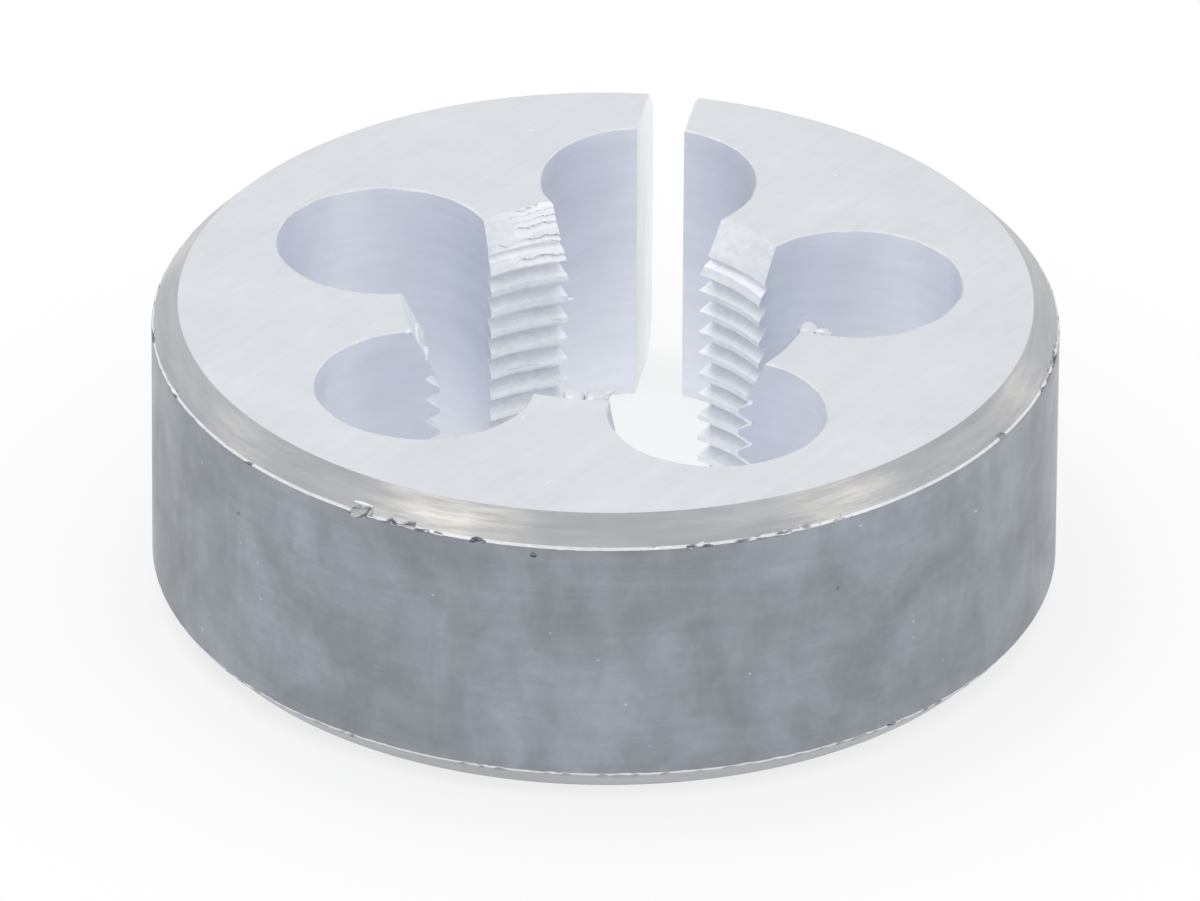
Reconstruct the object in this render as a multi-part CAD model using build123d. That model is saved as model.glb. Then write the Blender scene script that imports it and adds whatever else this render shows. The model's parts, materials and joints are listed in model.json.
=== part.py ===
from build123d import *
import math
import os

# A round adjustable threading die, in millimetres and degrees. It is one hardened
# steel disc: five chip holes open into its threaded bore and leave five lands with
# cutting lips, and a slit runs from one of the holes out through the rim.
#
# The origin is the centre of the bottom face, +Z is the thread's axis, and the slit
# runs out along +Y. The top face is the front, where the rod enters.

# Disc
outside_diameter = 38.0
thickness = 13.0
rim_chamfer = 1.1

# Thread, a metric one, whose crests are the inner faces of the lands
thread_diameter = 16.0
thread_pitch = 1.0

# Lead cones: the front one starts the thread on the rod, the back one only clears it
lead_mouth_diameter = 17.1
front_lead_half_angle = 24.0
back_lead_half_angle = 45.0

# Chip holes: the wall left outside them, and how far they cut in past the crests
chip_hole_count = 5
rim_wall = 3.95
lip_undercut = 1.5

# Slit, which lets the die be closed or opened a little, set a little beside its hole's centre
slit_width = 2.0
slit_offset = -0.25

# Screw dimples in the rim, behind the two lands that the slit lies between
dimple_diameter = 4.5
dimple_point_angle = 90.0

# Worked out from the sizes above
outside_radius = outside_diameter / 2
thread_depth = 5 / 8 * math.sqrt(3) / 2 * thread_pitch
crest_radius = thread_diameter / 2 - thread_depth
lead_mouth_radius = lead_mouth_diameter / 2
lead_height = lead_mouth_radius - crest_radius
front_lead_depth = lead_height / math.tan(math.radians(front_lead_half_angle))
back_lead_depth = lead_height / math.tan(math.radians(back_lead_half_angle))
chip_hole_inner_reach = crest_radius - lip_undercut
chip_hole_outer_reach = outside_radius - rim_wall
chip_hole_radius = (chip_hole_outer_reach - chip_hole_inner_reach) / 2
chip_circle_radius = (chip_hole_outer_reach + chip_hole_inner_reach) / 2
dimple_depth = dimple_diameter / 2 / math.tan(math.radians(dimple_point_angle / 2))

slit_angle = 90.0
slit_to_land_angle = 180.0 / chip_hole_count
on_bottom_face = (Align.CENTER, Align.CENTER, Align.MIN)


def disc():
    """The turned blank, with both rim edges chamfered."""
    blank = Cylinder(outside_radius, thickness, align=on_bottom_face)
    return chamfer(blank.edges().filter_by(GeomType.CIRCLE), rim_chamfer)


def bore():
    """The space inside the crests, opening out as a lead cone at each face."""
    outline = Polyline(
        (0, 0),
        (lead_mouth_radius, 0),
        (crest_radius, back_lead_depth),
        (crest_radius, thickness - front_lead_depth),
        (lead_mouth_radius, thickness),
        (0, thickness),
        close=True,
    )
    return revolve(make_face(Plane.XZ * outline), Axis.Z)


def chip_holes():
    """The drilled holes, evenly spaced from the one that carries the slit."""
    places = PolarLocations(chip_circle_radius, chip_hole_count, start_angle=slit_angle)
    return places * Cylinder(chip_hole_radius, thickness, align=on_bottom_face)


def slit():
    """A parallel cut from inside the first chip hole out past the rim."""
    from_hole_outwards = (Align.CENTER, Align.MIN, Align.MIN)
    cut = Box(slit_width, outside_radius, thickness, align=from_hole_outwards)
    return Pos(slit_offset, chip_circle_radius, 0) * cut


def screw_dimple(angle):
    """A conical dimple in the rim, made twice as deep as it bites to run out past it."""
    cutter = Cone(dimple_diameter, 0, 2 * dimple_depth)
    pointing_inwards = Rot(0, 0, angle) * Pos(outside_radius, 0, thickness / 2) * Rot(0, -90, 0)
    return pointing_inwards * cutter


def threading_die():
    """The whole die, as one solid."""
    die = disc() - bore() - chip_holes() - slit()
    for side in (-1, 1):
        die -= screw_dimple(slit_angle + side * slit_to_land_angle)
    die.label = "threading_die"
    return die


os.makedirs("parts", exist_ok=True)
export_step(threading_die(), "parts/threading_die.step")
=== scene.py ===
import json
import math

import bmesh
import bpy
from bpy.props import FloatProperty, FloatVectorProperty, IntProperty, PointerProperty
from mathutils import Euler, Matrix, Vector, noise


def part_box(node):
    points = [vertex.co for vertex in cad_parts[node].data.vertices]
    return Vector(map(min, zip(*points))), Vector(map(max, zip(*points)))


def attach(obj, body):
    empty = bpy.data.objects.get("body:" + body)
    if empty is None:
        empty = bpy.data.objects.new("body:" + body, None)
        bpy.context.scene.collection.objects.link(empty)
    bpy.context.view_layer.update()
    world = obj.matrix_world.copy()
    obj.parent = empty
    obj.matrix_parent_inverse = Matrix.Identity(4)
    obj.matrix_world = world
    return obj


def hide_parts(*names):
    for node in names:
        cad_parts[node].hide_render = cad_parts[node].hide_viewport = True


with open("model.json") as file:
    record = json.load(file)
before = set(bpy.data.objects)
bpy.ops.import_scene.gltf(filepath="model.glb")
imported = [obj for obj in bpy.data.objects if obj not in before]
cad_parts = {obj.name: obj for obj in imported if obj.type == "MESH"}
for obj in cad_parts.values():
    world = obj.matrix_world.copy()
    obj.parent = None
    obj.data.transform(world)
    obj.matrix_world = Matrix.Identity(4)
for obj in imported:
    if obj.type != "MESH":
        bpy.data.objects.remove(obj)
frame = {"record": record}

bl_info = {
    "name": "Round Threading Die",
    "version": (1, 0, 0),
    "blender": (4, 5, 0),
    "location": "3D View > Sidebar > Threading Die",
    "description": "Builds a split round threading die and the studio that shows it",
    "category": "Add Mesh",
}

MM = 0.001
DIE_NODE = "threading_die"
DIE_BODY = "root"
DIE_PIECE = "die_body"

# The die's main sizes, read from the frame
LOWEST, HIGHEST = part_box(DIE_NODE)
MOUNTS = {mount["name"]: mount for mount in frame["record"]["mounts"]}
THICKNESS = HIGHEST.z - LOWEST.z
OUTSIDE_RADIUS = MOUNTS["rim"]["dims"]["r_mm"] * MM
RIM_CHAMFER = (THICKNESS - MOUNTS["rim"]["dims"]["length_mm"] * MM) / 2
LANDS = MOUNTS["thread_lands"]
CREST_RADIUS = LANDS["dims"]["r_mm"] * MM
CRESTS_START = LANDS["pos_m"][2] - LANDS["dims"]["length_mm"] * MM / 2
CRESTS_END = LANDS["pos_m"][2] + LANDS["dims"]["length_mm"] * MM / 2
TOP_CENTRE = Vector((0, 0, HIGHEST.z))

# The slit runs out along +Y, and the lands lie half way between the chip holes
SLIT_ANGLE = 90.0

# Finishes, in the order of the die's material slots
FINISHES = ("ground", "rim", "chamfer", "drilled", "slit", "thread", "worn")


def length(name, description, value):
    """A length property, in metres."""
    return FloatProperty(name=name, description=description, default=value, precision=5, unit="LENGTH")


def angle(name, description, degrees):
    """An angle property, whose default is given in degrees."""
    value = math.radians(degrees)
    return FloatProperty(name=name, description=description, default=value, unit="ROTATION")


def share(name, description, value):
    """A property from 0 to 1."""
    return FloatProperty(
        name=name, description=description, default=value, min=0.0, max=1.0, subtype="FACTOR"
    )


def colour(name, description, value):
    """A linear colour property."""
    return FloatVectorProperty(
        name=name, description=description, default=value, size=3, min=0.0, max=1.0, subtype="COLOR"
    )


def place(name, description, value):
    """A property that holds a place, in metres."""
    return FloatVectorProperty(
        name=name, description=description, default=value, size=3, subtype="TRANSLATION", unit="LENGTH"
    )


class DieSizes(bpy.types.PropertyGroup):
    """The sizes that the frame doesn't give."""

    thread_diameter: length("Thread diameter", "Diameter at the thread's roots", 16.0 * MM)
    thread_pitch: length("Thread pitch", "Rise of the thread in one turn", 1.0 * MM)
    thread_start: length("Thread start", "Height of the thread's groove where it meets +X", 0.07 * MM)
    lead_mouth: length("Lead mouth", "Diameter of the lead cone at each face", 17.1 * MM)
    chip_holes: IntProperty(name="Chip holes", description="Holes round the bore", default=5, min=3)
    rim_wall: length("Rim wall", "Steel left outside each chip hole", 3.95 * MM)
    lip_undercut: length("Lip undercut", "How far the chip holes cut in past the crests", 1.5 * MM)
    slit_width: length("Slit width", "Width of the slit through the rim", 2.0 * MM)
    slit_offset: length("Slit offset", "How far the slit lies beside its hole's centre", -0.25 * MM)
    dimple_diameter: length("Dimple diameter", "Mouth of each screw dimple in the rim", 4.5 * MM)
    edge_break: length("Edge break", "Width of the worn break along the edges", 0.06 * MM)
    chamfer_tear: length("Chamfer tear", "Depth of the tool's tears in the chamfers", 0.07 * MM)
    land_tear: length("Land tear", "Depth of the layers torn out of the torn land", 0.20 * MM)


class DieFinish(bpy.types.PropertyGroup):
    """The colours of the steel, by the way that each surface was cut."""

    ground: colour("Ground faces", "Surface-ground top and bottom", (0.70, 0.72, 0.75))
    drilled: colour("Chip holes", "Drilled and hardened walls", (0.88, 0.905, 0.965))
    rim: colour("Rim", "Turned outside", (0.31, 0.335, 0.37))
    chamfer: colour("Chamfer", "Roughly turned rim chamfers", (0.435, 0.44, 0.46))
    # Partly the temper's straw tint and partly a painted highlight, much paler than the chamfer
    straw_and_glint: colour("Temper straw", "Straw tint of the hardening on the chamfers", (0.80, 0.785, 0.735))
    thread: colour("Thread", "Freshly cut lands and lead cones", (0.92, 0.935, 0.97))
    slit: colour("Slit", "Sawn slit walls", (0.93, 0.945, 0.965))
    worn: colour("Worn edges", "Bright breaks along the edges", (0.93, 0.945, 0.965))


class DieStudio(bpy.types.PropertyGroup):
    """The camera, the lamp, the surround and the floor."""

    view_distance: length("View distance", "From the camera to the top face's centre", 0.896)
    elevation: angle("Elevation", "Height of the view above the horizon", 29.79)
    azimuth: angle("Azimuth", "Turn of the view about the thread's axis", 9.76)
    roll: angle("Roll", "Tilt of the camera about its own axis", 0.405)
    aim_left: length("Aim left", "How far left of the top face's centre the camera aims", 0.24 * MM)
    aim_below: length("Aim below", "How far below the top face's centre the camera aims", 6.33 * MM)
    focal_length: FloatProperty(
        name="Focal length",
        description="Of the lens, in millimetres",
        default=642.9,
        min=1.0,
        subtype="DISTANCE_CAMERA",
    )
    lamp_place: place("Lamp place", "Where the lamp stands", (-0.18, 0.14, 0.50))
    lamp_size: length("Lamp size", "Side of the square lamp", 0.50)
    lamp_power: FloatProperty(
        name="Lamp power", description="Power of the lamp", default=0.28, min=0.0, unit="POWER"
    )
    surround_light: share("Surround light", "How strongly the white surround lights the die", 0.85)
    floor_radius: length("Floor radius", "Radius of the pale floor", 1.2)
    floor_gap: length("Floor gap", "Keeps the floor off the die's underside", 0.01 * MM)
    floor_tone: colour("Floor tone", "How pale the floor is under the light", (0.36, 0.36, 0.36))
    floor_glow: share("Floor glow", "Own light that makes the floor look white", 0.68)


# ---------------------------------------------------------------- mesh tools


def polar(radius, degrees, height=0.0):
    """A point at an angle round the thread's axis."""
    radians = math.radians(degrees)
    return Vector((radius * math.cos(radians), radius * math.sin(radians), height))


def in_plan(spot):
    """Where a spot lies when it is seen along the axis."""
    return Vector((spot.x, spot.y, 0))


def ramp(value, start, end):
    """0 at start, 1 at end, and a straight line between."""
    return min(1.0, max(0.0, (value - start) / (end - start)))


def rough(spot, octaves):
    """Noise about 0, whose octaves halve in size and in height."""
    return noise.fractal(spot, 1.0, 2.0, octaves)


def round_the_axis(spot, grain, height_grain):
    """Where a spot lies in lumps that are grain long round the axis and height_grain tall."""
    outwards = in_plan(spot).normalized() * (OUTSIDE_RADIUS / grain)
    return Vector((outwards.x, outwards.y, spot.z / height_grain))


def as_object(bm, name, materials):
    """Makes a bmesh into an object that carries these materials, with its faces outwards."""
    bmesh.ops.recalc_face_normals(bm, faces=bm.faces)
    if bm.calc_volume(signed=True) < 0:
        bmesh.ops.reverse_faces(bm, faces=bm.faces)
    mesh = bpy.data.meshes.new(name)
    bm.to_mesh(mesh)
    bm.free()
    for material in materials:
        mesh.materials.append(material)
    piece = bpy.data.objects.new(name, mesh)
    bpy.context.scene.collection.objects.link(piece)
    return piece


def apply_modifiers(piece):
    """Replaces a piece's mesh by what its modifiers make of it."""
    depsgraph = bpy.context.evaluated_depsgraph_get()
    made = bpy.data.meshes.new_from_object(piece.evaluated_get(depsgraph))
    old = piece.data
    piece.modifiers.clear()
    piece.data = made
    bpy.data.meshes.remove(old)
    made.name = piece.name


def combine(piece, tool, operation):
    """Cuts the tool out of the piece, or joins it on, and removes the tool.

    The new faces keep the tool's finish.
    """
    step = piece.modifiers.new("combine", "BOOLEAN")
    step.object = tool
    step.operation = operation
    step.solver = "MANIFOLD"
    step.material_mode = "TRANSFER"
    apply_modifiers(piece)
    bpy.data.objects.remove(tool)


def turned(outline, steps, cuts=None, sweep=math.tau):
    """A surface turned about +Z from an outline of (radius, height) points.

    Where cuts are given, each stretch of the outline is cut up that many times.
    """
    bm = bmesh.new()
    corners = [bm.verts.new((radius, 0, height)) for radius, height in outline]
    edges = [bm.edges.new(pair) for pair in zip(corners, corners[1:])]
    for edge, number in zip(edges, cuts or ()):
        if number:
            bmesh.ops.subdivide_edges(bm, edges=[edge], cuts=number)
    bmesh.ops.spin(
        bm,
        geom=bm.verts[:] + bm.edges[:],
        axis=(0, 0, 1),
        angle=sweep,
        steps=steps,
        use_merge=sweep == math.tau,
    )
    return bm


def close_ends(bm):
    """Fills the open loops of a turned surface."""
    bmesh.ops.holes_fill(bm, edges=[edge for edge in bm.edges if edge.is_boundary])
    bm.normal_update()


def turn(bm, degrees, axis):
    """Turns a whole bmesh about an axis through the origin."""
    bmesh.ops.rotate(bm, matrix=Matrix.Rotation(math.radians(degrees), 3, axis), verts=bm.verts)


# ---------------------------------------------------------------- the die


def chip_circle(sizes):
    """The radius of the chip holes' centres, and the holes' own radius."""
    inner = CREST_RADIUS - sizes.lip_undercut
    outer = OUTSIDE_RADIUS - sizes.rim_wall
    return (outer + inner) / 2, (outer - inner) / 2


def land_angle(sizes, number):
    """The middle of a land, counted round from the slit against the clock."""
    return SLIT_ANGLE + 360 / sizes.chip_holes * (number + 0.5)


# How finely each surface is divided
DISC_STEPS = 720
CHAMFER_ROWS = 8
EDGE_ROWS = 2
BORE_STEPS = 360
HOLE_STEPS = 160
SLIT_STEPS = 40
THREAD_STEPS = 180
DIMPLE_STEPS = 96

# How far the cutters run out past the die
OVERRUN = 1.0 * MM

# The finish of a turned face, by how much it points up or down: 1 is flat and 0 is upright
TURNED_FINISHES = (("ground", 0.9), ("chamfer", 0.6), ("worn", 0.2), ("rim", -1.0))


def turned_disc(sizes, steels):
    """The turned blank, whose chamfers are torn by the tool and worn bright at the rim."""
    low, top = LOWEST.z, HIGHEST.z
    inner = OUTSIDE_RADIUS - RIM_CHAMFER
    wear = sizes.edge_break
    outline = [
        (inner, low),
        (OUTSIDE_RADIUS - wear, low + RIM_CHAMFER - wear),
        (OUTSIDE_RADIUS, low + RIM_CHAMFER + wear),
        (OUTSIDE_RADIUS, low + RIM_CHAMFER + 2 * wear),
        (OUTSIDE_RADIUS, top - RIM_CHAMFER - 2 * wear),
        (OUTSIDE_RADIUS, top - RIM_CHAMFER - wear),
        (OUTSIDE_RADIUS - wear, top - RIM_CHAMFER + wear),
        (inner, top),
    ]
    cuts = (CHAMFER_ROWS, EDGE_ROWS, 0, 0, 0, EDGE_ROWS, CHAMFER_ROWS)
    bm = turned(outline, DISC_STEPS, cuts=cuts)
    close_ends(bm)
    for face in bm.faces:
        flatness = abs(face.normal.z)
        finish = next(finish for finish, least in TURNED_FINISHES if flatness > least)
        face.material_index = FINISHES.index(finish)
    tear_chamfers(bm, sizes)
    return as_object(bm, DIE_PIECE, [steels[finish] for finish in FINISHES])


# The tears in the chamfers: how long they are round the axis, and how tall
STREAK_GRAIN = (1.4 * MM, 0.14 * MM)
PATCH_GRAIN = (3.4 * MM, 9.0 * MM)
RAG_GRAIN = (0.45 * MM, 0.3 * MM)


def tear_chamfers(bm, sizes):
    """Sinks streaks into both chamfers, and leaves their edge with the rim ragged."""
    inner = OUTSIDE_RADIUS - RIM_CHAMFER
    wear = sizes.edge_break
    for vert in bm.verts:
        from_middle = vert.co.z - THICKNESS / 2
        if abs(from_middle) < THICKNESS / 2 - RIM_CHAMFER - 1.5 * wear:
            continue
        radius = in_plan(vert.co).length
        on_slope = ramp(radius, inner, inner + 0.15 * RIM_CHAMFER)
        at_edge = ramp(radius, OUTSIDE_RADIUS - 3 * wear, OUTSIDE_RADIUS - wear)
        streak = rough(round_the_axis(vert.co, *STREAK_GRAIN), 3)
        patch = noise.noise(round_the_axis(vert.co, *PATCH_GRAIN))
        rag = max(0.0, rough(round_the_axis(vert.co, *RAG_GRAIN), 3))
        sink = on_slope * (0.2 + 0.2 * streak) * ramp(patch, -0.6, 0.4)
        sink += at_edge * (0.3 + (1.0 + 4.0 * ramp(patch, -0.2, 0.2)) * rag)
        outwards = in_plan(vert.co) / radius
        upwards = Vector((0, 0, math.copysign(1.0, from_middle)))
        tear = sizes.chamfer_tear * max(0.0, sink) * math.sqrt(0.5)
        vert.co -= (outwards + upwards) * tear


def break_rings(radius, wear):
    """The (radius, height) points of a cutter whose flares break the edges that it leaves."""
    flare = radius + wear + OVERRUN
    return [
        (flare, LOWEST.z - OVERRUN),
        (radius, LOWEST.z + wear),
        (radius, HIGHEST.z - wear),
        (flare, HIGHEST.z + OVERRUN),
    ]


# The broken edges: how much they vary, how far apart, and how flat their faces may be
EDGE_VARIES = 0.05 * MM
EDGE_GRAIN = 1.3 * MM
LEAST_FLATNESS, MOST_FLATNESS = 0.3, 0.9


def wear_flares(bm):
    """Gives a cutter's flares their own finish, and makes the edges that they break uneven."""
    for face in bm.faces:
        face.material_index = int(LEAST_FLATNESS < abs(face.normal.z) < MOST_FLATNESS)
    for vert in bm.verts:
        uneven = rough(in_plan(vert.co) / EDGE_GRAIN, 3)
        vert.co.z -= math.copysign(EDGE_VARIES, vert.co.z - THICKNESS / 2) * uneven


def chip_hole_drill(sizes, number, steels):
    """A cutter for one chip hole."""
    circle_radius, hole_radius = chip_circle(sizes)
    bm = turned(break_rings(hole_radius, sizes.edge_break), HOLE_STEPS)
    close_ends(bm)
    centre = polar(circle_radius, SLIT_ANGLE + 360 / sizes.chip_holes * number)
    bmesh.ops.translate(bm, vec=centre, verts=bm.verts)
    wear_flares(bm)
    return as_object(bm, "chip_hole_drill", [steels["drilled"], steels["worn"]])


def slitting_saw(sizes, steels):
    """A cutter for the slit, from inside its chip hole out past the rim."""
    circle_radius, _ = chip_circle(sizes)
    start, end = circle_radius, OUTSIDE_RADIUS + OVERRUN
    right = break_rings(sizes.slit_width / 2, sizes.edge_break)
    outline = right + [(-across, height) for across, height in reversed(right)]
    bm = bmesh.new()
    corners = [bm.verts.new((sizes.slit_offset + across, start, height)) for across, height in outline]
    edges = [bm.edges.new((corners[i - 1], corners[i])) for i in range(len(corners))]
    for _ in range(SLIT_STEPS):
        moved = bmesh.ops.extrude_edge_only(bm, edges=edges)["geom"]
        verts = [part for part in moved if isinstance(part, bmesh.types.BMVert)]
        edges = [part for part in moved if isinstance(part, bmesh.types.BMEdge)]
        bmesh.ops.translate(bm, vec=(0, (end - start) / SLIT_STEPS, 0), verts=verts)
    close_ends(bm)
    wear_flares(bm)
    return as_object(bm, "slitting_saw", [steels["slit"], steels["worn"]])


def dimple_drill(sizes, side, steels):
    """A cutter for the screw dimple behind the land on one side of the slit.

    It is a cone of 90 degrees, as deep as it is wide from its middle, and twice the size of the
    dimple so that it runs out past the rim.
    """
    size = sizes.dimple_diameter
    bm = bmesh.new()
    bmesh.ops.create_cone(
        bm, cap_ends=True, segments=DIMPLE_STEPS, radius1=size, radius2=0, depth=size
    )
    turn(bm, -90, "Y")
    bmesh.ops.translate(bm, vec=(OUTSIDE_RADIUS, 0, THICKNESS / 2), verts=bm.verts)
    turn(bm, SLIT_ANGLE + side * 180 / sizes.chip_holes, "Z")
    return as_object(bm, "dimple_drill", [steels["chamfer"]])


def bore_outline(sizes, start, end):
    """The (radius, height) points of the crests and the lead cones, from start up to end."""
    mouth = sizes.lead_mouth / 2
    back_slope = (mouth - CREST_RADIUS) / (CRESTS_START - LOWEST.z)
    front_slope = (mouth - CREST_RADIUS) / (HIGHEST.z - CRESTS_END)
    outline = [(CREST_RADIUS, max(start, CRESTS_START)), (CREST_RADIUS, CRESTS_END)]
    if start < CRESTS_START:
        outline.insert(0, (CREST_RADIUS + back_slope * (CRESTS_START - start), start))
    outline.append((CREST_RADIUS + front_slope * (end - CRESTS_END), end))
    return outline


def bore_cutter(sizes, steels):
    """A cutter for the bore at the crests, with the lead cones at both ends."""
    bm = turned(bore_outline(sizes, LOWEST.z - OVERRUN, HIGHEST.z + OVERRUN), BORE_STEPS)
    close_ends(bm)
    return as_object(bm, "bore_cutter", [steels["thread"]])


# The thread's groove has sides 60 degrees apart and a flat bottom of an eighth of the pitch
GROOVE_HALF_ANGLE = 30.0
FLAT_HALF_SHARE = 1 / 16
GROOVE_OVERCUT = 0.1 * MM


def thread_cutter(sizes, steels):
    """A cutter for the thread: one groove that winds up the bore, right-handed.

    Two turns of it run out below the die, and one above.
    """
    pitch = sizes.thread_pitch
    root = sizes.thread_diameter / 2
    inside = CREST_RADIUS - GROOVE_OVERCUT
    root_half = pitch * FLAT_HALF_SHARE
    inside_half = root_half + (root - inside) * math.tan(math.radians(GROOVE_HALF_ANGLE))
    turns = math.ceil(THICKNESS / pitch) + 3
    start = LOWEST.z - 2 * pitch + sizes.thread_start
    bm = bmesh.new()
    outline = ((inside, -inside_half), (root, -root_half), (root, root_half), (inside, inside_half))
    corners = [bm.verts.new((radius, 0, start + height)) for radius, height in outline]
    edges = [bm.edges.new((corners[i - 1], corners[i])) for i in range(len(corners))]
    bmesh.ops.spin(
        bm,
        geom=corners + edges,
        axis=(0, 0, 1),
        dvec=(0, 0, pitch / THREAD_STEPS),
        angle=math.tau * turns,
        steps=THREAD_STEPS * turns,
    )
    close_ends(bm)
    return as_object(bm, "thread_cutter", [steels["thread"]])


# The torn land, counted round from the slit, and the strip that tears it: how far down it
# reaches, how far it runs out above, its rows, its steps round, its wall and its sweep in degrees
TORN_LAND = 0
STRIP_REACH = 9.0 * MM
STRIP_OVERRUN = 0.3 * MM
STRIP_ROW = 0.036 * MM
STRIP_STEPS = 96
STRIP_WALL = 0.8 * MM
STRIP_SWEEP = 36.0


def torn_land_cutter(sizes, steels):
    """A strip that tears layers out of one land, most in its lead cone and towards its lip."""
    middle = land_angle(sizes, TORN_LAND)
    outline = bore_outline(sizes, HIGHEST.z - STRIP_REACH, HIGHEST.z + STRIP_OVERRUN)
    cuts = [int((high - low) / STRIP_ROW) for (_, low), (_, high) in zip(outline, outline[1:])]
    bm = turned(outline, STRIP_STEPS, cuts=cuts, sweep=math.radians(STRIP_SWEEP))
    turn(bm, middle - STRIP_SWEEP / 2, "Z")
    bmesh.ops.recalc_face_normals(bm, faces=bm.faces)
    bmesh.ops.solidify(bm, geom=bm.faces[:], thickness=STRIP_WALL)
    for vert in bm.verts:
        plan = in_plan(vert.co)
        if plan.length > CREST_RADIUS - STRIP_WALL / 2:
            vert.co += plan.normalized() * tear_depth(vert.co, sizes, middle)
    return as_object(bm, "torn_land_cutter", [steels["thread"]])


# The torn layers: how thick each is, how far its step wanders up and down, how far below the
# lead cone they weaken, and how far the strip stays off the land where nothing is torn
LAYER = 0.25 * MM
LAYER_WANDER = 0.17 * MM
LAYER_FADE = 2.0 * MM
NO_CUT = 0.04 * MM

# Their unevenness: how long it is round the axis, and how tall
WANDER_GRAIN = (1.6 * MM, 3.0 * MM)
LIP_GRAIN = (3.5 * MM, 1.0 * MM)
NEXT_LAYER = 5.3 * MM


def tear_depth(spot, sizes, middle):
    """How far the torn layers sink into the land at a spot.

    Each layer starts in a sharp step and runs out downwards.
    """
    off_middle = math.degrees(math.atan2(spot.y, spot.x)) - middle
    wander = rough(round_the_axis(spot, *WANDER_GRAIN), 5)
    drop = (HIGHEST.z - spot.z + LAYER_WANDER * wander) / LAYER
    layer = math.floor(drop)
    own_height = Vector((spot.x, spot.y, NEXT_LAYER * layer))
    rag = noise.noise(round_the_axis(own_height, *LIP_GRAIN))
    towards_lip = ramp(off_middle + 9.0 * rag, 6.0, -5.0)
    in_lead = ramp(spot.z, CRESTS_END - LAYER_FADE, CRESTS_END)
    strength = (0.25 + 0.75 * in_lead) * towards_lip * (0.55 + 0.45 * math.cos(2.4 * layer))
    cut = sizes.land_tear * strength * (1 - (drop - layer)) ** 1.3
    return cut - NO_CUT * (1 - min(1.0, 5 * strength))


SHARP_ANGLE = 35.0


def finish_normals(piece):
    """Smooths the piece except at its sharp edges, and keeps its flat faces flat."""
    piece.data.shade_smooth()
    piece.data.set_sharp_from_angle(angle=math.radians(SHARP_ANGLE))
    step = piece.modifiers.new("flat_faces", "WEIGHTED_NORMAL")
    step.keep_sharp = True
    step.weight = 100
    apply_modifiers(piece)


# Knocks in the rim's edges, and one in the slit's corner: angle round the axis, depth below the
# top face, size along the edge, across it and into it, slant in degrees, and the finish inside.
# The lengths are in millimetres
NICKS = (
    (-112.3, 1.14, (1.05, 0.44, 0.42), 12.0, "chamfer"),
    (-111.2, 1.02, (0.50, 0.38, 0.36), -20.0, "chamfer"),
    (-96.2, 1.16, (0.66, 0.26, 0.22), 6.0, "rim"),
    (-89.0, 1.52, (0.26, 0.30, 0.12), 50.0, "rim"),
    (-68.0, 1.08, (0.40, 0.16, 0.14), 0.0, "worn"),
    (-55.0, 1.06, (0.60, 0.16, 0.14), 4.0, "worn"),
    (-20.0, 1.12, (0.70, 0.26, 0.18), -8.0, "rim"),
    (31.0, 1.10, (0.60, 0.24, 0.20), 10.0, "rim"),
    (141.0, 1.14, (0.80, 0.30, 0.22), -5.0, "rim"),
    (-158.0, 11.88, (0.70, 0.28, 0.20), 8.0, "rim"),
    (-41.0, 11.90, (0.55, 0.24, 0.18), -12.0, "rim"),
    (87.9, 0.45, (0.90, 0.90, 1.60), 0.0, "slit"),
)
NICK_ROUGHNESS = 0.3
NICK_UNDERCUT = 0.35

# Lumps take their shapes from noise this fine, each from its own stretch of it
LUMP_FINENESS = 2.2
NEXT_LUMP = 5.1


def lump(number, size, roughness):
    """A rough lump of this size, each number with a shape of its own."""
    bm = bmesh.new()
    bmesh.ops.create_icosphere(bm, subdivisions=4, radius=0.5)
    for vert in bm.verts:
        own_stretch = Vector((number * NEXT_LUMP, 0, 0))
        vert.co *= 1 + roughness * rough(vert.co * LUMP_FINENESS + own_stretch, 4)
    bmesh.ops.scale(bm, vec=size, verts=bm.verts)
    return bm


def nick_cutter(number, degrees, drop, size, slant, steel):
    """A rough lump that knocks a nick into the rim's edge, undercut at its upper side."""
    along, across, into = (extent * MM for extent in size)
    bm = lump(number, (2 * into, along, across), NICK_ROUGHNESS)
    for vert in bm.verts:
        vert.co.z -= NICK_UNDERCUT * vert.co.x
    turn(bm, slant, "X")
    bmesh.ops.translate(bm, vec=(OUTSIDE_RADIUS, 0, HIGHEST.z - drop * MM), verts=bm.verts)
    turn(bm, degrees, "Z")
    return as_object(bm, "nick_cutter", [steel])


# Flaps and chips of steel left at the lands, and the lip that one nick threw up: place in
# millimetres, direction that each points in, size along, across and through, and its finish
BURRS = (
    ((8.74, -0.70, 12.84), 8.0, (0.86, 1.05, 0.62), "ground"),
    ((9.36, -0.86, 12.80), -10.0, (0.80, 0.66, 0.46), "ground"),
    ((0.10, -8.12, 12.82), 10.0, (0.90, 1.10, 0.62), "ground"),
    ((1.00, -7.98, 12.83), 12.0, (1.02, 1.12, 0.62), "ground"),
    ((1.50, -7.62, 12.90), 55.0, (0.72, 0.22, 0.22), "worn"),
    ((-7.62, -4.08, 12.90), 60.0, (0.36, 0.28, 0.26), "drilled"),
    ((-4.87, 5.62, 5.93), 41.0, (0.46, 0.16, 0.14), "drilled"),
    ((-4.32, 6.05, 5.92), 35.5, (0.85, 0.15, 0.14), "drilled"),
    ((-2.71, 6.92, 8.88), 21.3, (0.32, 0.18, 0.16), "drilled"),
    ((-3.25, 6.68, 7.89), 26.0, (0.34, 0.14, 0.13), "drilled"),
    ((-7.10, -17.33, 12.20), -22.4, (0.94, 0.20, 0.14), "worn"),
)
BURR_ROUGHNESS = 0.22
BURR_TAPER = 0.3
FIRST_BURR = 20
FLAP_RISE = 0.015 * MM


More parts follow.
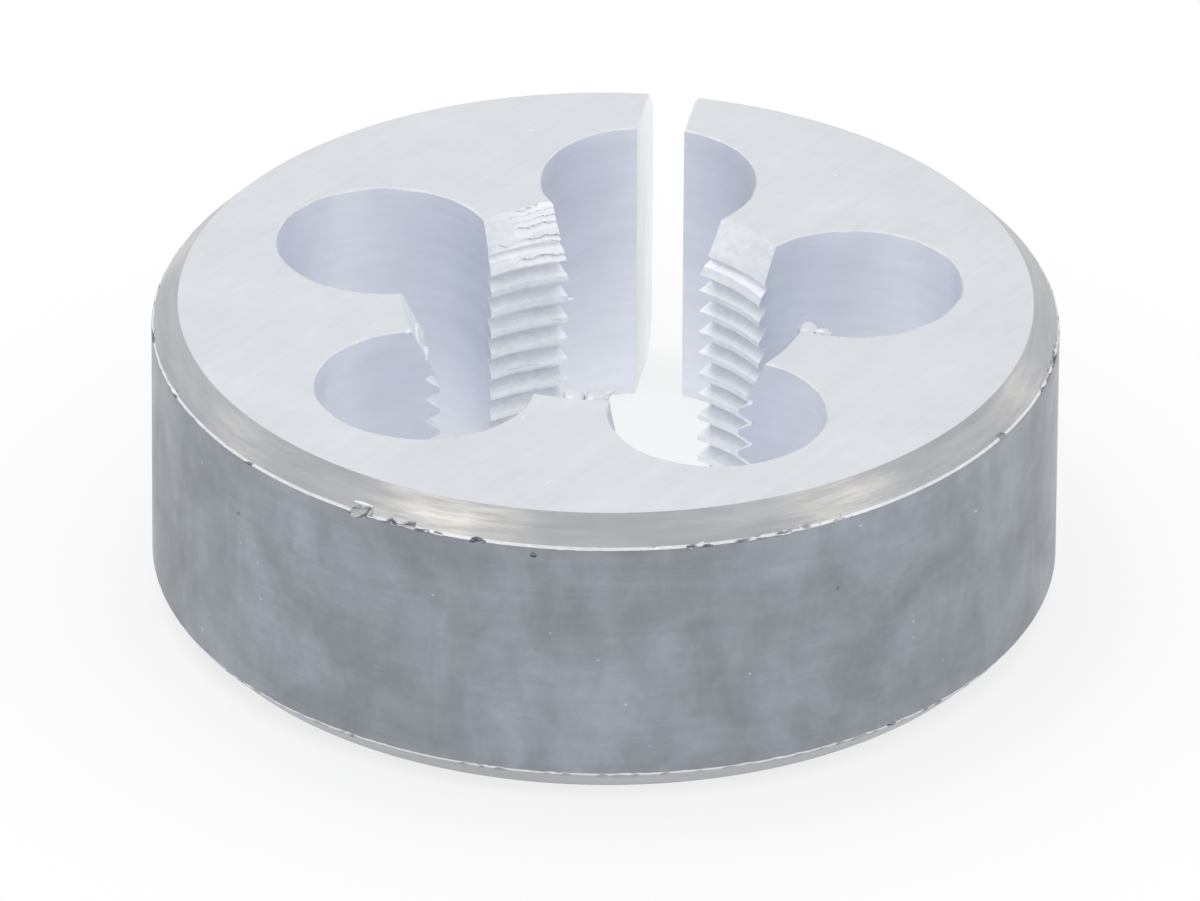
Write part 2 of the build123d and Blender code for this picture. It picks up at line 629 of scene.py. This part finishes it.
def burr(number, place, heading, size, steel):
    """One flap of torn steel, with a thinner end and a top that lies flush with the die's face."""
    bm = lump(FIRST_BURR + number, (1.0, 1.0, 1.0), BURR_ROUGHNESS)
    for vert in bm.verts:
        narrowing = 1 - BURR_TAPER * (vert.co.x + 0.5)
        vert.co.y *= narrowing
        vert.co.z *= narrowing
    bmesh.ops.scale(bm, vec=Vector(size) * MM, verts=bm.verts)
    turn(bm, heading, "Z")
    bmesh.ops.translate(bm, vec=Vector(place) * MM, verts=bm.verts)
    for vert in bm.verts:
        above = vert.co.z - HIGHEST.z
        if above > 0:
            vert.co.z = HIGHEST.z + FLAP_RISE * math.tanh(above / FLAP_RISE)
    return as_object(bm, "burr", [steel])


def build_die(sizes, steels):
    """Turns, drills, slits and threads the die, in the order that a shop would."""
    die = turned_disc(sizes, steels)
    for number in range(sizes.chip_holes):
        combine(die, chip_hole_drill(sizes, number, steels), "DIFFERENCE")
    combine(die, slitting_saw(sizes, steels), "DIFFERENCE")
    for side in (-1, 1):
        combine(die, dimple_drill(sizes, side, steels), "DIFFERENCE")
    combine(die, thread_cutter(sizes, steels), "DIFFERENCE")
    combine(die, bore_cutter(sizes, steels), "DIFFERENCE")
    combine(die, torn_land_cutter(sizes, steels), "DIFFERENCE")
    return die


def wear_die(die, steels):
    """Knocks the nicks into the rim and leaves the burrs on the lands."""
    for number, (degrees, drop, size, slant, finish) in enumerate(NICKS):
        combine(die, nick_cutter(number, degrees, drop, size, slant, steels[finish]), "DIFFERENCE")
    for number, (place, heading, size, finish) in enumerate(BURRS):
        combine(die, burr(number, place, heading, size, steels[finish]), "UNION")


# ---------------------------------------------------------------- finishes


def feed(tree, socket, value):
    """Sets a socket to a value, or links it to the output that is given."""
    if isinstance(value, bpy.types.NodeSocket):
        tree.links.new(value, socket)
    else:
        socket.default_value = value


def add(tree, kind, inputs, **settings):
    """A node in a tree, whose inputs are given as values or as the outputs that feed them."""
    node = tree.nodes.new(kind)
    for name, value in settings.items():
        setattr(node, name, value)
    for name, value in inputs.items():
        feed(tree, node.inputs[name], value)
    return node


def add_math(tree, operation, first, second):
    """What a Math node makes of two values."""
    return add(tree, "ShaderNodeMath", {0: first, 1: second}, operation=operation).outputs[0]


def new_group(name, inputs, outputs):
    """A shader node group with these sockets, and its input and output nodes."""
    group = bpy.data.node_groups.new(name, "ShaderNodeTree")
    for socket, kind in inputs.items():
        group.interface.new_socket(name=socket, in_out="INPUT", socket_type=kind)
    for socket, kind in outputs.items():
        group.interface.new_socket(name=socket, in_out="OUTPUT", socket_type=kind)
    return group, group.nodes.new("NodeGroupInput"), group.nodes.new("NodeGroupOutput")


FLOAT, VECTOR = "NodeSocketFloat", "NodeSocketVector"


def tool_lines_group():
    """Lines left by the tool: long across the stretched axes, and coarse lines among fine ones."""
    inputs = {"Vector": VECTOR, "Fineness": FLOAT}
    group, given, made = new_group("tool_lines", inputs, {"Lines": FLOAT})
    vector, fineness = given.outputs["Vector"], given.outputs["Fineness"]
    fine_inputs = {"Vector": vector, "Scale": fineness, "Detail": 3.0, "Roughness": 0.6}
    fine = add(group, "ShaderNodeTexNoise", fine_inputs)
    wider = add_math(group, "MULTIPLY", fineness, 0.27)
    coarse = add(group, "ShaderNodeTexNoise", {"Vector": vector, "Scale": wider, "Detail": 2.0})
    both = add_math(group, "ADD", fine.outputs[0], coarse.outputs[0])
    group.links.new(add_math(group, "MULTIPLY", both, 0.5), made.inputs["Lines"])
    return group


def cloud_group():
    """Soft blotches in the tone of hardened steel."""
    inputs = {"Vector": VECTOR, "Size": FLOAT}
    group, given, made = new_group("steel_cloud", inputs, {"Cloud": FLOAT})
    noise_inputs = {
        "Vector": given.outputs["Vector"],
        "Scale": add_math(group, "DIVIDE", 1.0, given.outputs["Size"]),
        "Detail": 4.0,
        "Roughness": 0.55,
        "Distortion": 0.6,
    }
    cloud = add(group, "ShaderNodeTexNoise", noise_inputs)
    firmer_inputs = {"Value": cloud.outputs[0], "From Min": 0.3, "From Max": 0.7}
    firmer = add(group, "ShaderNodeMapRange", firmer_inputs, clamp=True)
    group.links.new(firmer.outputs[0], made.inputs["Cloud"])
    return group


def speck_group():
    """Small scattered specks: 1 in a speck and 0 around it."""
    inputs = {"Vector": VECTOR, "Spacing": FLOAT, "Width": FLOAT, "Share": FLOAT}
    group, given, made = new_group("steel_specks", inputs, {"Specks": FLOAT})
    grain = add_math(group, "DIVIDE", 1.0, given.outputs["Spacing"])
    cell_inputs = {"Vector": given.outputs["Vector"], "Scale": grain, "Randomness": 1.0}
    cells = add(group, "ShaderNodeTexVoronoi", cell_inputs)
    inside_inputs = {
        "Value": cells.outputs["Distance"],
        "From Min": given.outputs["Width"],
        "From Max": 0.0,
        "To Min": 0.0,
        "To Max": 1.0,
    }
    inside = add(group, "ShaderNodeMapRange", inside_inputs, clamp=True)
    draw = add(group, "ShaderNodeSeparateColor", {"Color": cells.outputs["Color"]})
    chosen = add_math(group, "LESS_THAN", draw.outputs[0], given.outputs["Share"])
    speck = add_math(group, "MULTIPLY", inside.outputs[0], chosen)
    group.links.new(speck, made.inputs["Specks"])
    return group


def radius_group():
    """How far a spot lies from the thread's axis, in millimetres."""
    group, given, made = new_group("axis_distance", {"Vector": VECTOR}, {"Radius": FLOAT})
    plan_inputs = {0: given.outputs["Vector"], 1: (1.0, 1.0, 0.0)}
    plan = add(group, "ShaderNodeVectorMath", plan_inputs, operation="MULTIPLY")
    radius = add(group, "ShaderNodeVectorMath", {0: plan.outputs[0]}, operation="LENGTH")
    group.links.new(radius.outputs["Value"], made.inputs["Radius"])
    return group


# Where the chamfers have straw patches, partly the hardening's straw tint and partly painted
# highlight: angle round the axis, radius of the patch in millimetres, and how strong it is
STRAW_AND_GLINT_PATCHES = (
    (-101.0, 4.6, 1.0),
    (-48.0, 3.6, 0.8),
    (-135.0, 2.6, 0.35),
    (-12.0, 3.4, 0.4),
    (52.0, 4.2, 0.7),
    (128.0, 4.0, 0.6),
    (174.0, 3.0, 0.4),
)

# Where the torn land is shredded bright, partly torn steel and partly painted highlight: the middle of
# each spot and its radius, in millimetres
TORN_HIGHLIGHT_SPOTS = (((-3.8, 7.1, 12.0), 2.3), ((-2.9, 6.95, 10.0), 1.2))


class Steel:
    """A steel finish under way, whose tone, roughness and height are built up step by step."""

    def __init__(self, name, tone, roughness, groups):
        self.groups = groups
        self.material = bpy.data.materials.new(name)
        self.material.use_nodes = True
        self.tree = self.material.node_tree
        self.shader = self.tree.nodes["Principled BSDF"]
        self.shader.inputs["Metallic"].default_value = 1.0
        in_metres = add(self.tree, "ShaderNodeTexCoord", {}).outputs["Object"]
        self.place = self.mapped({"Vector": in_metres, "Scale": (1 / MM,) * 3})
        self.tone = (*tone, 1.0)
        self.roughness = roughness
        self.height = 0.0

    def mapped(self, inputs):
        """A place moved, turned or stretched."""
        return add(self.tree, "ShaderNodeMapping", inputs).outputs[0]

    def stretched(self, scale, degrees=0.0):
        """The place in millimetres, turned about the axis and then stretched."""
        turned_place = self.mapped({"Vector": self.place, "Rotation": (0, 0, math.radians(degrees))})
        return self.mapped({"Vector": turned_place, "Scale": scale})

    def group(self, name, inputs):
        """One of the shared groups, placed in this material with its own values."""
        node = self.tree.nodes.new("ShaderNodeGroup")
        node.node_tree = self.groups[name]
        for socket, value in inputs.items():
            feed(self.tree, node.inputs[socket], value)
        return node.outputs[0]

    def lines(self, scale, fineness, degrees=0.0):
        """A mask of tool lines, stretched along the axes whose scale is small."""
        vector = self.stretched(scale, degrees)
        return self.group("tool_lines", {"Vector": vector, "Fineness": fineness})

    def cloud(self, size, scale=None):
        """A mask of soft blotches, by their size in millimetres."""
        vector = self.stretched(scale) if scale else self.place
        return self.group("steel_cloud", {"Vector": vector, "Size": size})

    def specks(self, spacing, width, share, scale=None):
        """A mask of specks: millimetres apart and across, and the share of places that have one."""
        vector = self.stretched(scale) if scale else self.place
        inputs = {"Vector": vector, "Spacing": spacing, "Width": width, "Share": share}
        return self.group("steel_specks", inputs)

    def near(self, middle, inner, outer, strength=1.0):
        """A round mask, in millimetres: full within the inner radius and 0 past the outer one."""
        away = add(self.tree, "ShaderNodeVectorMath", {0: self.place, 1: middle}, operation="DISTANCE")
        return self.spread(away.outputs["Value"], strength, 0.0, inner, outer)

    def straw_and_glint_patches(self):
        """A mask of the straw patches: partly temper tint, partly painted highlight."""
        straw_and_glint = 0.0
        for degrees, reach, strength in STRAW_AND_GLINT_PATCHES:
            middle = polar(OUTSIDE_RADIUS, degrees, HIGHEST.z) / MM
            straw_and_glint = self.math("MAXIMUM", straw_and_glint, self.near(middle, 0.25 * reach, reach, strength))
        return straw_and_glint

    def math(self, operation, first, second):
        """What a Math node makes of two masks."""
        return add_math(self.tree, operation, first, second)

    def spread(self, mask, low, high, start=0.0, end=1.0):
        """A mask's range from start to end, spread from low to high."""
        inputs = {"Value": mask, "From Min": start, "From Max": end, "To Min": low, "To Max": high}
        return add(self.tree, "ShaderNodeMapRange", inputs, clamp=True).outputs[0]

    def shade(self, mask, low, high, start=0.0, end=1.0):
        """Multiplies the tone by low where the mask is at start, and by high where it is at end."""
        tone = self.tone if isinstance(self.tone, bpy.types.NodeSocket) else self.tone[:3]
        inputs = {0: tone, "Scale": self.spread(mask, low, high, start, end)}
        self.tone = add(self.tree, "ShaderNodeVectorMath", inputs, operation="SCALE").outputs[0]

    def tint(self, mask, tone):
        """Turns the tone to another colour where the mask is 1."""
        mix = add(self.tree, "ShaderNodeMix", {}, data_type="RGBA")
        for index, value in ((0, mask), (6, self.tone), (7, (*tone, 1.0))):
            feed(self.tree, mix.inputs[index], value)
        self.tone = mix.outputs[2]

    def polish(self, mask, low, high, start=0.0, end=1.0):
        """Adds to the roughness: low where the mask is at start, high where it is at end."""
        self.roughness = self.math("ADD", self.roughness, self.spread(mask, low, high, start, end))

    def raise_by(self, mask, height):
        """Adds a mask to the height, in metres."""
        self.height = self.math("ADD", self.height, self.math("MULTIPLY", mask, height))

    def finish(self):
        """Feeds the shader, and gives the finished material."""
        feed(self.tree, self.shader.inputs["Base Color"], self.tone)
        feed(self.tree, self.shader.inputs["Roughness"], self.roughness)
        if isinstance(self.height, bpy.types.NodeSocket):
            inputs = {"Height": self.height, "Strength": 1.0, "Distance": 1.0}
            bump = add(self.tree, "ShaderNodeBump", inputs)
            self.tree.links.new(bump.outputs[0], self.shader.inputs["Normal"])
        return self.material


def ground_steel(finish, groups):
    """Flat faces from the surface grinder: fine straight lines in a satin that varies a little."""
    steel = Steel("ground_steel", finish.ground, 0.36, groups)
    lines = steel.lines((1.0, 0.06, 1.0), 9.0, 28.0)
    cloud = steel.cloud(7.0)
    steel.shade(lines, 0.965, 1.03, 0.3, 0.7)
    steel.shade(cloud, 0.965, 1.02)
    steel.shade(steel.cloud(1.1), 0.985, 1.01)
    steel.tint(steel.specks(1.9, 0.045, 0.5), finish.worn)
    steel.polish(lines, -0.05, 0.06, 0.3, 0.7)
    steel.polish(cloud, -0.03, 0.04)
    steel.raise_by(lines, 0.002 * MM)
    return steel.finish()


def rim_steel(finish, groups):
    """The turned rim: dark and blotchy from hardening, with lines round it, painted glints, and pits
    darkened with painted shade.
    """
    steel = Steel("rim_steel", finish.rim, 0.40, groups)
    lines = steel.lines((0.05, 0.05, 1.0), 7.0)
    cloud = steel.cloud(5.0)
    smears = steel.cloud(1.8, (0.7, 0.7, 0.28))
    painted_glints = steel.specks(0.8, 0.10, 0.16, (0.8, 0.8, 1.2))
    pits = steel.specks(2.3, 0.05, 0.4)
    steel.shade(lines, 0.93, 1.07, 0.3, 0.7)
    steel.shade(cloud, 0.84, 1.12)
    steel.shade(smears, 0.90, 1.10)
    steel.shade(steel.cloud(0.9), 0.95, 1.04)
    # Painted highlight: the glint specks brighten the rim to nearly twice its tone
    steel.shade(painted_glints, 1.0, 1.9)
    # Painted shade: the sunk pits are darkened to about a third of the tone
    steel.shade(pits, 1.0, 0.35)
    steel.polish(lines, -0.05, 0.05, 0.3, 0.7)
    steel.polish(cloud, 0.05, -0.05)
    steel.raise_by(lines, 0.003 * MM)
    steel.raise_by(pits, -0.03 * MM)
    return steel.finish()


def chamfer_steel(finish, groups):
    """The rough chamfers: grey, with straw patches of temper tint and painted highlight, and torn
    streaks that run round.
    """
    steel = Steel("chamfer_steel", finish.chamfer, 0.36, groups)
    streaks = steel.lines((0.09, 0.09, 1.0), 3.4)
    dashes = steel.lines((0.11, 0.11, 1.3), 5.0)
    crumbs = steel.cloud(0.3, (0.4, 0.4, 1.0))
    broken_up = steel.spread(dashes, 0.35, 1.0, 0.40, 0.60)
    steel.shade(streaks, 0.90, 1.10, 0.36, 0.64)
    # Painted highlight: the pale straw colour stands for glints of light as well as the temper tint
    steel.tint(steel.math("MULTIPLY", steel.straw_and_glint_patches(), broken_up), finish.straw_and_glint)
    steel.shade(dashes, 0.95, 1.05, 0.38, 0.62)
    steel.polish(streaks, -0.06, 0.06, 0.3, 0.7)
    steel.raise_by(streaks, 0.008 * MM)
    steel.raise_by(crumbs, 0.004 * MM)
    return steel.finish()


def drilled_steel(finish, groups):
    """The drilled walls: cool and even, with faint rings from the drill and a few painted glints."""
    steel = Steel("drilled_steel", finish.drilled, 0.50, groups)
    rings = steel.lines((0.12, 0.12, 1.0), 3.2)
    cloud = steel.cloud(3.5)
    steel.shade(rings, 0.965, 1.03, 0.3, 0.7)
    steel.shade(cloud, 0.96, 1.03)
    # Painted highlight: specks tinted to the bright worn colour as glints
    steel.tint(steel.specks(1.7, 0.08, 0.35), finish.worn)
    steel.polish(cloud, -0.04, 0.06)
    steel.raise_by(rings, 0.004 * MM)
    return steel.finish()


def slit_steel(finish, groups):
    """The walls of the slit: light, with the saw's upright marks."""
    steel = Steel("slit_steel", finish.slit, 0.42, groups)
    marks = steel.lines((1.0, 0.9, 0.15), 5.0)
    steel.shade(marks, 0.93, 1.05, 0.3, 0.7)
    steel.shade(steel.cloud(2.5), 0.95, 1.03)
    steel.polish(marks, -0.05, 0.06, 0.3, 0.7)
    steel.raise_by(marks, 0.004 * MM)
    return steel.finish()


def thread_steel(finish, groups):
    """The lands: fine turning lines, crests brightened as painted highlight, and torn spots bright
    partly from tearing and partly from painted highlight.
    """
    steel = Steel("thread_steel", finish.thread, 0.60, groups)
    lines = steel.lines((0.2, 0.2, 1.0), 8.0)
    crumbs = steel.cloud(0.35)
    radius = steel.group("axis_distance", {"Vector": steel.place})
    crest = steel.spread(radius, 1.0, 0.0, CREST_RADIUS / MM + 0.02, CREST_RADIUS / MM + 0.10)
    bright = steel.math("MULTIPLY", crest, steel.spread(crumbs, 0.0, 0.35))
    torn = 0.0
    for middle, reach in TORN_HIGHLIGHT_SPOTS:
        torn = steel.math("MAXIMUM", torn, steel.near(middle, 0.4 * reach, reach))
    shreds = steel.spread(steel.lines((0.3, 0.3, 1.5), 4.0), 0.1, 1.0, 0.42, 0.58)
    steel.shade(lines, 0.94, 1.05, 0.3, 0.7)
    steel.shade(crumbs, 0.95, 1.03)
    # Painted highlight: the crests are tinted towards the bright worn colour
    steel.tint(bright, finish.worn)
    # Partly painted highlight: the shreds in the torn spots are tinted bright
    steel.tint(steel.math("MULTIPLY", torn, shreds), finish.worn)
    steel.tint(steel.specks(0.9, 0.11, 0.22), finish.worn)
    steel.polish(bright, 0.0, -0.08)
    steel.raise_by(lines, 0.004 * MM)
    return steel.finish()


def worn_steel(finish, groups):
    """The broken edges: bright where they have been knocked, lifted by painted highlight at the straw
    patches, and duller between.
    """
    steel = Steel("worn_steel", finish.worn, 0.32, groups)
    crumbs = steel.cloud(0.22)
    knocks = steel.spread(steel.cloud(1.3), 0.0, 0.5)
    # Painted highlight: the straw patches lift the broken edges to their full brightness
    steel.shade(steel.math("MAXIMUM", knocks, steel.straw_and_glint_patches()), 0.84, 1.0)
    steel.shade(crumbs, 0.88, 1.0)
    steel.polish(crumbs, 0.08, -0.05)
    return steel.finish()


def make_steels(finish):
    """Every finish of the die, by name."""
    groups = {
        "tool_lines": tool_lines_group(),
        "steel_cloud": cloud_group(),
        "steel_specks": speck_group(),
        "axis_distance": radius_group(),
    }
    return {
        "ground": ground_steel(finish, groups),
        "rim": rim_steel(finish, groups),
        "chamfer": chamfer_steel(finish, groups),
        "drilled": drilled_steel(finish, groups),
        "slit": slit_steel(finish, groups),
        "thread": thread_steel(finish, groups),
        "worn": worn_steel(finish, groups),
    }


# ---------------------------------------------------------------- studio


def seen_directly(tree):
    """1 for rays from the camera, off metal or through glass, and 0 for rays that light the die."""
    path = add(tree, "ShaderNodeLightPath", {}).outputs
    shiny = add_math(tree, "MAXIMUM", path["Is Glossy Ray"], path["Is Transmission Ray"])
    return add_math(tree, "MAXIMUM", path["Is Camera Ray"], shiny)


def make_floor(studio):
    """A pale floor that looks white and keeps the die's shadow."""
    bm = bmesh.new()
    bmesh.ops.create_circle(bm, cap_ends=True, segments=96, radius=studio.floor_radius)
    bmesh.ops.translate(bm, vec=(0, 0, LOWEST.z - studio.floor_gap), verts=bm.verts)
    material = bpy.data.materials.new("floor_white")
    material.use_nodes = True
    tree = material.node_tree
    shader = tree.nodes["Principled BSDF"]
    shader.inputs["Base Color"].default_value = (*studio.floor_tone, 1)
    shader.inputs["Roughness"].default_value = 1.0
    shader.inputs["Specular IOR Level"].default_value = 0.0
    shader.inputs["Emission Color"].default_value = (1, 1, 1, 1)
    glow = add_math(tree, "MULTIPLY", seen_directly(tree), studio.floor_glow)
    tree.links.new(glow, shader.inputs["Emission Strength"])
    floor = as_object(bm, "studio_floor", [material])
    return floor


def make_world(studio):
    """A white surround that lights softly from all sides."""
    world = bpy.data.worlds.new("studio_world")
    bpy.context.scene.world = world
    world.use_nodes = True
    tree = world.node_tree
    background = tree.nodes["Background"]
    background.inputs["Color"].default_value = (1, 1, 1, 1)
    inputs = {"Value": seen_directly(tree), "To Min": studio.surround_light, "To Max": 1.0}
    strength = add(tree, "ShaderNodeMapRange", inputs)
    tree.links.new(strength.outputs[0], background.inputs["Strength"])


def make_lamp(studio):
    """A square soft lamp above the die's left, which faces it."""
    light = bpy.data.lights.new("top_lamp", "AREA")
    light.size = studio.lamp_size
    light.energy = studio.lamp_power
    lamp = bpy.data.objects.new("top_lamp", light)
    lamp.location = studio.lamp_place
    towards_die = TOP_CENTRE - Vector(studio.lamp_place)
    lamp.rotation_euler = towards_die.to_track_quat("-Z", "Y").to_euler()
    bpy.context.scene.collection.objects.link(lamp)
    return lamp


def make_camera(studio):
    """The camera, looking down on the die through a long lens."""
    data = bpy.data.cameras.new("camera")
    data.lens = studio.focal_length
    data.sensor_width = 36.0
    data.clip_start = 0.01
    data.clip_end = 100.0
    camera = bpy.data.objects.new("camera", data)
    facing = (
        Euler((0, 0, studio.azimuth)).to_matrix()
        @ Euler((math.pi / 2 - studio.elevation, 0, 0)).to_matrix()
        @ Euler((0, 0, studio.roll)).to_matrix()
    )
    right, up, back = facing.col
    aim = TOP_CENTRE - right * studio.aim_left - up * studio.aim_below
    camera.rotation_euler = facing.to_euler()
    camera.location = aim + back * studio.view_distance
    bpy.context.scene.collection.objects.link(camera)
    bpy.context.scene.camera = camera


# ---------------------------------------------------------------- add-on


class DIE_OT_build(bpy.types.Operator):
    """Build the threading die"""

    bl_idname = "die.build"
    bl_label = "Build Die"

    def execute(self, context):
        scene = context.scene
        die = build_die(scene.die_sizes, make_steels(scene.die_finish))
        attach(die, DIE_BODY)
        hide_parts(DIE_NODE)
        return {"FINISHED"}


class DIE_OT_wear(bpy.types.Operator):
    """Knock the nicks into the rim and leave the burrs on the lands"""

    bl_idname = "die.wear"
    bl_label = "Wear Die"

    def execute(self, context):
        die = bpy.data.objects[DIE_PIECE]
        wear_die(die, dict(zip(FINISHES, die.data.materials)))
        finish_normals(die)
        return {"FINISHED"}


class DIE_OT_studio(bpy.types.Operator):
    """Set up the floor, the surround, the lamp and the camera"""

    bl_idname = "die.studio"
    bl_label = "Set Up Studio"

    def execute(self, context):
        studio = context.scene.die_studio
        make_floor(studio)
        make_world(studio)
        make_lamp(studio)
        make_camera(studio)
        context.scene.view_settings.view_transform = "Standard"
        return {"FINISHED"}


class DIE_PT_panel(bpy.types.Panel):
    """Lists the steps that build the die"""

    bl_idname = "DIE_PT_panel"
    bl_label = "Threading Die"
    bl_space_type = "VIEW_3D"
    bl_region_type = "UI"
    bl_category = "Threading Die"

    def draw(self, context):
        for operator in OPERATORS:
            self.layout.operator(operator.bl_idname)
        scene = context.scene
        for group in (scene.die_sizes, scene.die_finish, scene.die_studio):
            box = self.layout.box()
            for name in group.__annotations__:
                box.prop(group, name)


OPERATORS = (DIE_OT_studio, DIE_OT_build, DIE_OT_wear)
CLASSES = (DieSizes, DieFinish, DieStudio, *OPERATORS, DIE_PT_panel)


def register():
    for cls in CLASSES:
        bpy.utils.register_class(cls)
    bpy.types.Scene.die_sizes = PointerProperty(type=DieSizes)
    bpy.types.Scene.die_finish = PointerProperty(type=DieFinish)
    bpy.types.Scene.die_studio = PointerProperty(type=DieStudio)


def unregister():
    del bpy.types.Scene.die_studio, bpy.types.Scene.die_finish, bpy.types.Scene.die_sizes
    for cls in reversed(CLASSES):
        bpy.utils.unregister_class(cls)


def main():
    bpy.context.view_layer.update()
    register()
    bpy.ops.die.studio()
    bpy.ops.die.build()
    bpy.ops.die.wear()


if __name__ == "__main__":
    main()
